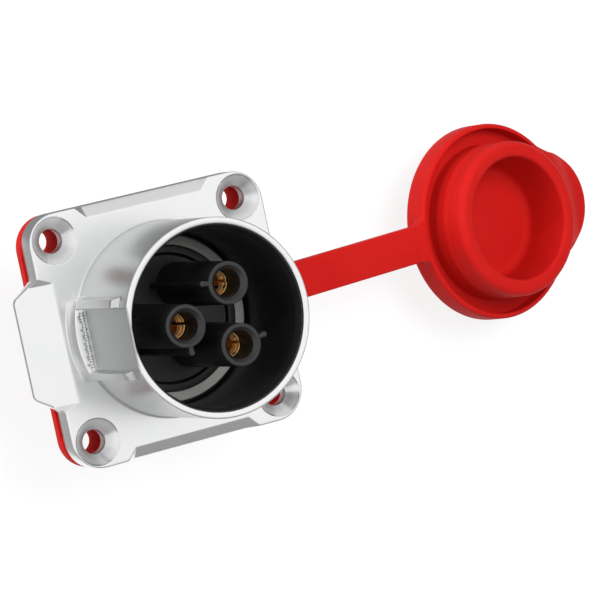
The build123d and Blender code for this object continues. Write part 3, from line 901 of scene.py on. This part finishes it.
# The ridges take the same greyer milled colour, painted shade in the recess
chatter = piece("recess_chatter", [chatter_part(0.0), chatter_part(CHATTER_SECOND_ROW)], milled_with_shade)
repeat(chatter, chatter_tree(), {
    "Count": chatter_count, "Seed": 5, "Material": milled_with_shade, "Step": (0.0, CHATTER_STEP * MM, 0.0),
    "Start": (-(RECESS_FLOOR + 0.16) * MM, chatter_start * MM, RECESS_START * MM)})
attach(chatter, "root")


# Black insert with its three towers
def insert_parts():
    profile = [
        (0.0, STEM_END), (STEM, STEM_END, 0.2), (STEM, SHOULDER), (LINER_OUTSIDE, SHOULDER),
        (LINER_OUTSIDE, LINER_TOP, 0.06), (LINER_OUTSIDE - LINER_LIP, LINER_TOP, 0.06),
        (LINER, LINER_TOP - LINER_LEAD_IN, 0.6), (LINER, CUP_FLOOR, 0.35), (BOSS, CUP_FLOOR, 0.1),
        (BOSS, BOSS_TOP, 0.2), (DISH, BOSS_TOP, 0.25), (DISH, DISH_FLOOR, 0.25), (0.0, DISH_FLOOR),
    ]
    return [turned(soften(profile, 0.0, 5), 192)]


def tower_part():
    profile = [
        (TOWER_BORE, STEM_END), (TOWER + 0.1, STEM_END), (TOWER + TOWER_DRAFT, TOWER_ROOT),
        (TOWER, TOWER_TOP, 0.16), (TOWER_MOUTH + 0.1, TOWER_TOP, 0.06),
        (TOWER_MOUTH, TOWER_TOP - 0.12, 0.06), (TOWER_BORE, TOWER_TOP - 0.45, 0.1),
    ]
    return turned(soften(profile, 0.0, 5), 96)


def rib_part():
    """A polarising rib: a thin web that ends in a round bead, softened at the top."""
    bead = RIB_WIDTH * 0.6
    half = RIB_WIDTH / 2
    tip = RIB_REACH - bead
    meet = sqrt(bead ** 2 - half ** 2)
    start = asin(half / bead)
    round_end = [(tip + bead * cos(a), bead * sin(a)) for a in np.linspace(-pi + start, pi - start, 22)]
    foot, neck = TOWER - 0.5, tip - meet - 0.3
    outline = [(foot, -half), (neck, -half)] + round_end + [(neck, half), (foot, half)]
    layers = [(0.0, CUP_FLOOR)]
    layers += [(RIB_ROUND - out, z) for out, z in arc(0.0, RIB_TOP - RIB_ROUND, RIB_ROUND, 0, 90, 5)]
    verts = [(x, y, z) for inset, z in layers for x, y in shrunk(outline, inset)]
    count = len(outline)
    faces = [tuple(reversed(range(count))), tuple(range(len(verts) - count, len(verts)))]
    return verts, faces + bands(len(layers), count)


def tower_ring_tree():
    """Geometry nodes that repeat a mesh round a circle, each copy turned by an angle of its own."""
    angles = [(f"Turn {i + 1}", "NodeSocketFloat", 0.0) for i in range(3)]
    tree, given, finish = geometry_tree("tower_ring", [
        ("Circle", "NodeSocketFloat", 0.005), ("First Angle", "NodeSocketFloat", 0.0)] + angles)
    ring = node(tree, "GeometryNodeMeshCircle", {"Vertices": 3}, {"Radius": given["Circle"]})
    lean = node(tree, "ShaderNodeCombineXYZ", {}, {"Z": given["First Angle"]})
    points = node(tree, "GeometryNodeTransform", {}, {"Geometry": ring.outputs["Mesh"],
                                                      "Rotation": lean.outputs["Vector"]})
    which = node(tree, "GeometryNodeIndexSwitch", {"data_type": "FLOAT"})
    which.index_switch_items.new()
    tree.links.new(node(tree, "GeometryNodeInputIndex").outputs["Index"], which.inputs["Index"])
    for i in range(3):
        tree.links.new(given[f"Turn {i + 1}"], which.inputs[str(i)])
    turn = node(tree, "ShaderNodeCombineXYZ", {}, {"Z": which.outputs["Output"]})
    copies = node(tree, "GeometryNodeInstanceOnPoints", {}, {
        "Points": points.outputs["Geometry"], "Instance": given["Geometry"],
        "Rotation": turn.outputs["Vector"]})
    finish(copies.outputs["Instances"])
    return tree


def bead_part(middle, half_width, level, height):
    """A domed ring in a slotted contact, in four quarters between its slots."""
    gap = asin(CONTACT_SLOT / 2 / middle)
    section = [(middle + half_width * cos(a), level + height * sin(a)) for a in np.linspace(0, pi, 9)]
    count, rings = len(section), 13
    verts, faces = [], []
    for quarter in range(4):
        first = len(verts)
        for a in np.linspace(quarter * pi / 2 + gap, (quarter + 1) * pi / 2 - gap, rings):
            verts += [(r * cos(a), r * sin(a), z) for r, z in section]
        faces += [tuple(range(first, first + count)), tuple(reversed(range(len(verts) - count, len(verts))))]
        faces += bands(rings, count, first=first)
    return verts, faces


insert = piece("moulded_insert", insert_parts(), nylon, 45)
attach(insert, "root")
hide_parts("front_insulator")

tower_ring = tower_ring_tree()
ring_sizes = {"Circle": TOWER_CIRCLE * MM, "First Angle": radians(FIRST_TOWER), "Material": nylon}
towers = piece("insert_towers", [tower_part()], nylon, 45)
repeat(towers, tower_ring, ring_sizes)
rib_turns = {f"Turn {i + 1}": radians(angle) for i, angle in enumerate(RIB_ANGLES)}
ribs = piece("polarising_ribs", [rib_part()], nylon, 45)
repeat(ribs, tower_ring, {**ring_sizes, **rib_turns})
for moulded in (towers, ribs):
    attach(moulded, "root")

beads = [bead_part(CONTACT_MIDDLE, CONTACT_WALL / 2, CONTACT_FRONT - 0.02, CONTACT_DOME)]
bead_middle = CONTACT_MIDDLE - CONTACT_WALL / 2 - BEAD_PROUD
beads += [bead_part(bead_middle, BEAD_HALF, CONTACT_FRONT - depth, BEAD_HEIGHT) for depth in CONTACT_BEADS]
lips = piece("contact_mouths", beads, gold, 60)
repeat(lips, tower_ring, {**ring_sizes, "Material": gold})
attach(lips, "root")

seal_profile = [(SEAL_INSIDE, CUP_FLOOR), (SEAL_OUTSIDE, CUP_FLOOR), (SEAL_OUTSIDE, SEAL_TOP, 0.2),
                (SEAL_INSIDE, SEAL_TOP, 0.12)]
seal = piece("interface_seal", [turned(soften(seal_profile, 0.0, 5), 192)], grey_seal)
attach(seal, "root")
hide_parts("face_seal")


# Silicone moulding
def strap_place():
    """From the strap's own frame, x along it and z out of its face, to the row frame."""
    return (Matrix.Rotation(STRAP_YAW, 4, "Z") @ Matrix.Translation((HALF_SIDE, 0, FLANGE_BACK))
            @ Matrix.Rotation(STRAP_DROOP, 4, "Y"))


def gasket_part():
    side, left = HALF_SIDE - GASKET_INSET, -HALF_SIDE - GASKET_PROUD
    corners = [(side, -side), (side, side), (left, side), (left, -side)]
    outline = soften(corners, FLANGE_CORNER, 16)
    holes = [(x, y, SCREW_HOLE, HOLE_SIDES) for x, y in SCREWS]
    holes.append((0, 0, GASKET_BORE, 160))
    return plate(outline, holes, lambda x, y: np.full_like(x, FLANGE_BACK), 0.0, 0.18, 0.05)


def sleeve_part():
    """The tube below each screw hole, which centres the screw in the panel."""
    profile = [(SCREW_HOLE, 0.2), (SCREW_HOLE, SLEEVE_END, 0.1), (SLEEVE, SLEEVE_END, 0.25), (SLEEVE, 0.2)]
    return turned(soften(profile, 0.0, 5), HOLE_SIDES)


def screw_pattern_tree():
    """Geometry nodes that repeat a mesh at the four corners of a square."""
    tree, given, finish = geometry_tree("screw_pattern", [("Spacing", "NodeSocketFloat", 0.03)])
    grid = node(tree, "GeometryNodeMeshGrid", {"Vertices X": 2, "Vertices Y": 2},
                {"Size X": given["Spacing"], "Size Y": given["Spacing"]})
    copies = node(tree, "GeometryNodeInstanceOnPoints", {}, {"Points": grid.outputs["Mesh"],
                                                             "Instance": given["Geometry"]})
    finish(copies.outputs["Instances"])
    return tree


def strap_part(start, end):
    """A length of strap with soft long edges."""
    half = STRAP_WIDTH / 2
    section = soften([(half, -STRAP_THICK), (half, 0), (-half, 0), (-half, -STRAP_THICK)], SILICONE_EDGE, 5)
    steps = max(2, int((end - start) / 0.35))
    verts = [(start + (end - start) * s / steps, y, z) for s in range(steps + 1) for y, z in section]
    count = len(section)
    faces = [tuple(range(count)), tuple(reversed(range(steps * count, (steps + 1) * count)))]
    return verts, faces + bands(steps + 1, count)


def fillet_reach(angle, x, y, corner):
    """How far the cap's outline reaches at an angle, along a fillet about (x, y) that touches its disc."""
    along = x * cos(angle) + y * sin(angle)
    return along - sqrt(max(0.0, along ** 2 - ((CAP + corner) ** 2 - corner ** 2)))


def pull_reach(angle):
    """How far the cap's outline reaches at an angle, where its disc grows out into the pull tab."""
    a, b = CAP + PULL_FILLET, PULL + PULL_FILLET
    x = (a * a - b * b + PULL_MIDDLE ** 2) / (2 * PULL_MIDDLE)
    y = sqrt(a * a - x * x)
    angle = abs(angle)
    if angle >= atan2(y, x):
        return CAP
    if angle <= atan2(y * PULL / b, PULL_MIDDLE + (x - PULL_MIDDLE) * PULL / b):
        return PULL_MIDDLE * cos(angle) + sqrt(PULL ** 2 - (PULL_MIDDLE * sin(angle)) ** 2)
    return fillet_reach(angle, x, y, PULL_FILLET)


def ear_reach(angle):
    """How far the cap's outline reaches at an angle from the strap, with a fillet up to the strap's side."""
    half = STRAP_WIDTH / 2
    y = half + EAR_FILLET
    x = sqrt((CAP + EAR_FILLET) ** 2 - y ** 2)
    angle = abs(angle)
    if angle >= atan2(y, x):
        return CAP
    if angle <= atan2(half, x):
        return min(half / max(sin(angle), 1e-6), EAR_END / cos(angle))
    return fillet_reach(angle, x, y, EAR_FILLET)


def pull_level(reach, root):
    """Level of the pull tab's face, which falls away from the skirt in a soft ramp."""
    t = min(1.0, max(0.0, (reach - CAP) / PULL_RAMP))
    return root + (PULL_TOP - root) * t * t * (3 - 2 * t)


def cap_column(angle):
    """The cap's section at an angle, from the middle of its back round to the middle of its hollow. Its
    outline grows out into the pull tab on one side and into the strap's root on the other."""
    pull = pull_reach(angle) if abs(angle) < 1 else CAP
    ear = ear_reach(angle - pi) if abs(angle - pi) < 0.4 else CAP
    pull_share = min(1.0, (pull - CAP) / PULL_BLEND)
    pull_edge = PULL_EDGE * pull_share
    root = -SKIRT_EDGE * (1 - pull_share)
    pull_top = pull_level(pull, root)
    ear_share = min(1.0, (ear - CAP) / EAR_BLEND)
    ear_back = -STRAP_THICK if ear > CAP else root
    back_edge = min(SILICONE_EDGE, (ear - CAP) * 0.5)
    front_edge = SILICONE_EDGE + (SKIRT_EDGE - SILICONE_EDGE) * (1 - ear_share) if ear > CAP else -root
    column = [(0.0, -CAP_DEPTH), (6.0, -CAP_DEPTH), (CAP - 2.0, -CAP_DEPTH)]
    column += arc(pull - CAP_BACK_ROUND, -CAP_DEPTH + CAP_BACK_ROUND, CAP_BACK_ROUND, -90, 0, 8)
    column += arc(pull - pull_edge, pull_top - pull_edge, pull_edge, 0, 90, 7)
    column += [(r, pull_level(r, root)) for r in np.linspace(pull - pull_edge, CAP, 9)[1:]]
    column += arc(ear - back_edge, ear_back + back_edge, back_edge, -90, 0, 5)
    column += arc(ear - front_edge, -front_edge, front_edge, 0, 90, 7)
    column.append((CAP - SKIRT_EDGE, 0.0))
    column += arc(SKIRT_BORE + SKIRT_LIP, -SKIRT_LIP, SKIRT_LIP, 90, 180, 4)
    column += arc(SKIRT_BORE - GROOVE_ROUND, -GROOVE + GROOVE_ROUND, GROOVE_ROUND, 0, -90, 4)
    column += arc(PLUG + GROOVE_ROUND, -GROOVE + GROOVE_ROUND, GROOVE_ROUND, -90, -180, 4)
    column += [(PLUG + (PLUG_BEAD - PLUG) * sin(a) ** 2, PLUG_BEAD_START + PLUG_BEAD_LENGTH * a / pi)
               for a in np.linspace(0, pi, 13)]
    column += arc(PLUG - PLUG_ROUND, PLUG_TOP - PLUG_ROUND, PLUG_ROUND, 0, 90, 8)
    column += arc(CAP_MOUTH + CAP_MOUTH_ROUND, PLUG_TOP - CAP_MOUTH_ROUND, CAP_MOUTH_ROUND, 90, 180, 8)
    column += arc(CAP_FLOOR_R - CAP_FLOOR_ROUND, CAP_FLOOR + CAP_FLOOR_ROUND, CAP_FLOOR_ROUND, 0, -90, 9)
    return column + [(4.0, CAP_FLOOR), (0.0, CAP_FLOOR)]


def cap_part():
    """The cap as one skin round its axis, with columns close together at the pull tab and the strap."""
    pull_span, ear_span = 0.95, 0.36
    rest = list(np.linspace(pull_span, pi - ear_span, 66)[1:-1])
    angles = list(np.linspace(-pull_span, pull_span, 90)) + rest + [2 * pi - a for a in rest]
    angles += [pi + a for a in np.linspace(-ear_span, ear_span, 72)]
    columns = [(angle, cap_column(angle)) for angle in sorted(angles)]
    verts = [(r * cos(angle), r * sin(angle), z) for angle, column in columns for r, z in column]
    return verts, bands(len(columns), len(columns[0][1]), closed=False, around=True)


at_strap = strap_place()


def bend_along(hinge):
    """How far along the strap a hinge lies."""
    place = next(joint["pos_m"] for joint in frame["joints"] if joint["name"] == hinge)
    return (at_strap.inverted() @ (Vector(place) / MM)).x


root_bend = bend_along("strap_root_bend")
cap_bend = bend_along("strap_cap_bend")
strap_middle = (root_bend + cap_bend) / 2

gasket = piece("silicone_gasket", [gasket_part()], silicone, 60)
# Painted light: a brighter red on the walls of the gasket's screw holes
repaint(gasket, matt_silicone, lambda x, y, z: from_screw(x, y) < SCREW_HOLE + 0.03)
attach(gasket, "root")
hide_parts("gasket")

# Painted light: the sleeves take the brighter red
sleeves = piece("gasket_sleeves", [sleeve_part()], matt_silicone, 60)
repeat(sleeves, screw_pattern_tree(), {"Spacing": 2 * SCREW_PLACE * MM, "Material": matt_silicone})
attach(sleeves, "root")

near_strap = piece("strap_near_half", [strap_part(-0.8, strap_middle)], silicone, 60, at_strap)
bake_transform(near_strap)
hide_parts("strap")

far_end = STRAP_LENGTH + CAP - EAR_END
far_strap = piece("strap_far_half", [strap_part(strap_middle, far_end)], silicone, 60, at_strap)
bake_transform(far_strap)

cap_place = at_strap @ Matrix.Translation((STRAP_LENGTH + CAP, 0, 0))
cap = piece("silicone_dust_cap", [cap_part()], silicone, 60, cap_place)
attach(cap, "cap")
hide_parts("dust_cap")


# Pieces whose solids already have the right shape
FINISHES = {
    "contact": gold, "clamp_screw": steel, "circlip": steel, "insulator_nut": plated_brass,
    "rear_insulator": nylon, "contact_o_ring": grey_seal, "floor_o_ring": grey_seal,
}
for name, obj in frame["nodes"].items():
    for start in sorted(FINISHES, key=len, reverse=True):
        if name.startswith(start):
            obj.data.materials.clear()
            obj.data.materials.append(FINISHES[start])
            break


# Floor, light and camera
def seen(tree):
    """1 for a ray that looks at the backdrop, straight, in metal or through glass, and 0 for the light it
    sends out."""
    path = node(tree, "ShaderNodeLightPath").outputs
    direct = node(tree, "ShaderNodeMath", {"operation": "MAXIMUM"},
                  {0: path["Is Camera Ray"], 1: path["Is Glossy Ray"]})
    return node(tree, "ShaderNodeMath", {"operation": "MAXIMUM"},
                {0: direct.outputs[0], 1: path["Is Transmission Ray"]}).outputs[0]


def backdrop(name, corners, made):
    """A flat backdrop from its four corners in metres."""
    mesh = bpy.data.meshes.new(name)
    mesh.from_pydata(corners, [], [(0, 1, 2, 3)])
    mesh.materials.append(made)
    obj = bpy.data.objects.new(name, mesh)
    bpy.context.scene.collection.objects.link(obj)
    return obj


def pale_floor():
    """A white floor on which the shadow stays faint. Its light on the object is a plain pale grey."""
    size, level = 3.0, FLOOR * MM
    corners = [(-size, -size, level), (size, -size, level), (size, size, level), (-size, size, level)]
    made = bpy.data.materials.new("pale_floor")
    made.use_nodes = True
    tree = made.node_tree
    dull = node(tree, "ShaderNodeBsdfDiffuse", {"Color": srgb("#D8D8D8")})
    shadowed = node(tree, "ShaderNodeBsdfDiffuse", {"Color": srgb("#808082")})
    glow = node(tree, "ShaderNodeEmission", {"Color": (1, 1, 1, 1), "Strength": 0.81})
    white = node(tree, "ShaderNodeAddShader", {}, {0: shadowed.outputs[0], 1: glow.outputs[0]})
    mix = node(tree, "ShaderNodeMixShader", {}, {0: seen(tree), 1: dull.outputs[0], 2: white.outputs[0]})
    tree.links.new(mix.outputs[0], tree.nodes["Material Output"].inputs["Surface"])
    backdrop("floor", corners, made)


def grey_card(name, level, corners):
    """A card that only reflections see, as a photographer sets grey cards round bright metal."""
    made = bpy.data.materials.new(name)
    made.use_nodes = True
    tree = made.node_tree
    glow = node(tree, "ShaderNodeEmission", {"Color": (1, 1, 1, 1), "Strength": level})
    tree.links.new(glow.outputs[0], tree.nodes["Material Output"].inputs["Surface"])
    card = backdrop(name, corners, made)
    card.visible_camera = card.visible_diffuse = card.visible_transmission = card.visible_shadow = False


def standing(y, height, half, lean):
    """Corners of a card that stands on the floor across the Y axis and leans inwards."""
    low = FLOOR * MM
    return [(-half, y, low), (half, y, low), (half, y + lean, height), (-half, y + lean, height)]


def standing_aside(x, y0, y1, height):
    """Corners of a card that stands upright on the floor across the X axis."""
    low = FLOOR * MM
    return [(x, y0, low), (x, y1, low), (x, y1, height), (x, y0, height)]


def lying(x0, x1, y0, y1):
    """Corners of a card that lies just above the floor."""
    level = FLOOR * MM + 0.0001
    return [(x0, y0, level), (x1, y0, level), (x1, y1, level), (x0, y1, level)]


def softbox(name, place, aim, width, height, power):
    data = bpy.data.lights.new(name, "AREA")
    data.shape = "RECTANGLE"
    data.size, data.size_y = width, height
    data.energy = power
    lamp = bpy.data.objects.new(name, data)
    lamp.location = place
    lamp.visible_glossy = False
    lamp.rotation_euler = (Vector(aim) - Vector(place)).to_track_quat("-Z", "Y").to_euler()
    bpy.context.scene.collection.objects.link(lamp)


def studio_world():
    """White wherever it is seen. Its light falls from overhead and dims to the sides."""
    world = bpy.data.worlds.new("studio")
    bpy.context.scene.world = world
    world.use_nodes = True
    tree = world.node_tree
    place = node(tree, "ShaderNodeTexCoord").outputs["Generated"]
    height = node(tree, "ShaderNodeSeparateXYZ", {}, {0: place}).outputs["Z"]
    limits = {"From Min": 0.0, "From Max": 0.9, "To Min": 0.14, "To Max": 0.68}
    bright = node(tree, "ShaderNodeMapRange", limits, {"Value": height})
    light = node(tree, "ShaderNodeBackground", {"Color": (1, 1, 1, 1)}, {"Strength": bright.outputs[0]})
    white = node(tree, "ShaderNodeBackground", {"Color": (1, 1, 1, 1), "Strength": 1.0})
    mix = node(tree, "ShaderNodeMixShader", {}, {0: seen(tree), 1: light.outputs[0], 2: white.outputs[0]})
    tree.links.new(mix.outputs[0], tree.nodes["World Output"].inputs["Surface"])


def photo_camera():
    """The camera solved from the flange's corners, its holes, the rim and the towers in the photo."""
    right = Vector((0.87572764, -0.20488883, 0.43717465))
    down = Vector((-0.22346651, -0.9746686, -0.00915633))
    forward = Vector((0.42797643, -0.08967544, -0.89933002))
    data = bpy.data.cameras.new("camera")
    data.sensor_width = 36.0
    data.lens = 208.148
    data.clip_end = 20.0
    camera = bpy.data.objects.new("camera", data)
    turn = Matrix((right, -down, -forward)).transposed().to_4x4()
    camera.matrix_world = Matrix.Translation((-0.18085, 0.04001, 0.42533)) @ turn
    bpy.context.scene.collection.objects.link(camera)
    bpy.context.scene.camera = camera


# Lamps and cards have their places in metres
pale_floor()
studio_world()
softbox("front_softbox", (0.1, 0.2, 0.65), (0.03, 0, 0), 0.35, 0.35, 3.1)
softbox("left_softbox", (-0.5, 0.3, 0.18), (0.03, 0, 0), 0.3, 0.3, 2.7)
grey_card("card_below", 0.33, standing(-0.40, 0.62, 0.6, 0.13))
grey_card("card_above", 0.76, standing(0.45, 0.35, 0.6, -0.05))
grey_card("card_right", 0.10, standing_aside(0.5, -0.27, 0.4, 0.36))
grey_card("card_left_on_floor", 0.36, lying(-0.4, -0.0235, -0.3, 0.0185))
grey_card("card_above_on_floor", 0.25, lying(-0.4, 0.3, 0.0185, 0.3))
grey_card("card_below_on_floor", 0.28, lying(-0.3, 0.4, -0.38, -0.055))
photo_camera()
bpy.context.scene.view_settings.view_transform = "Standard"
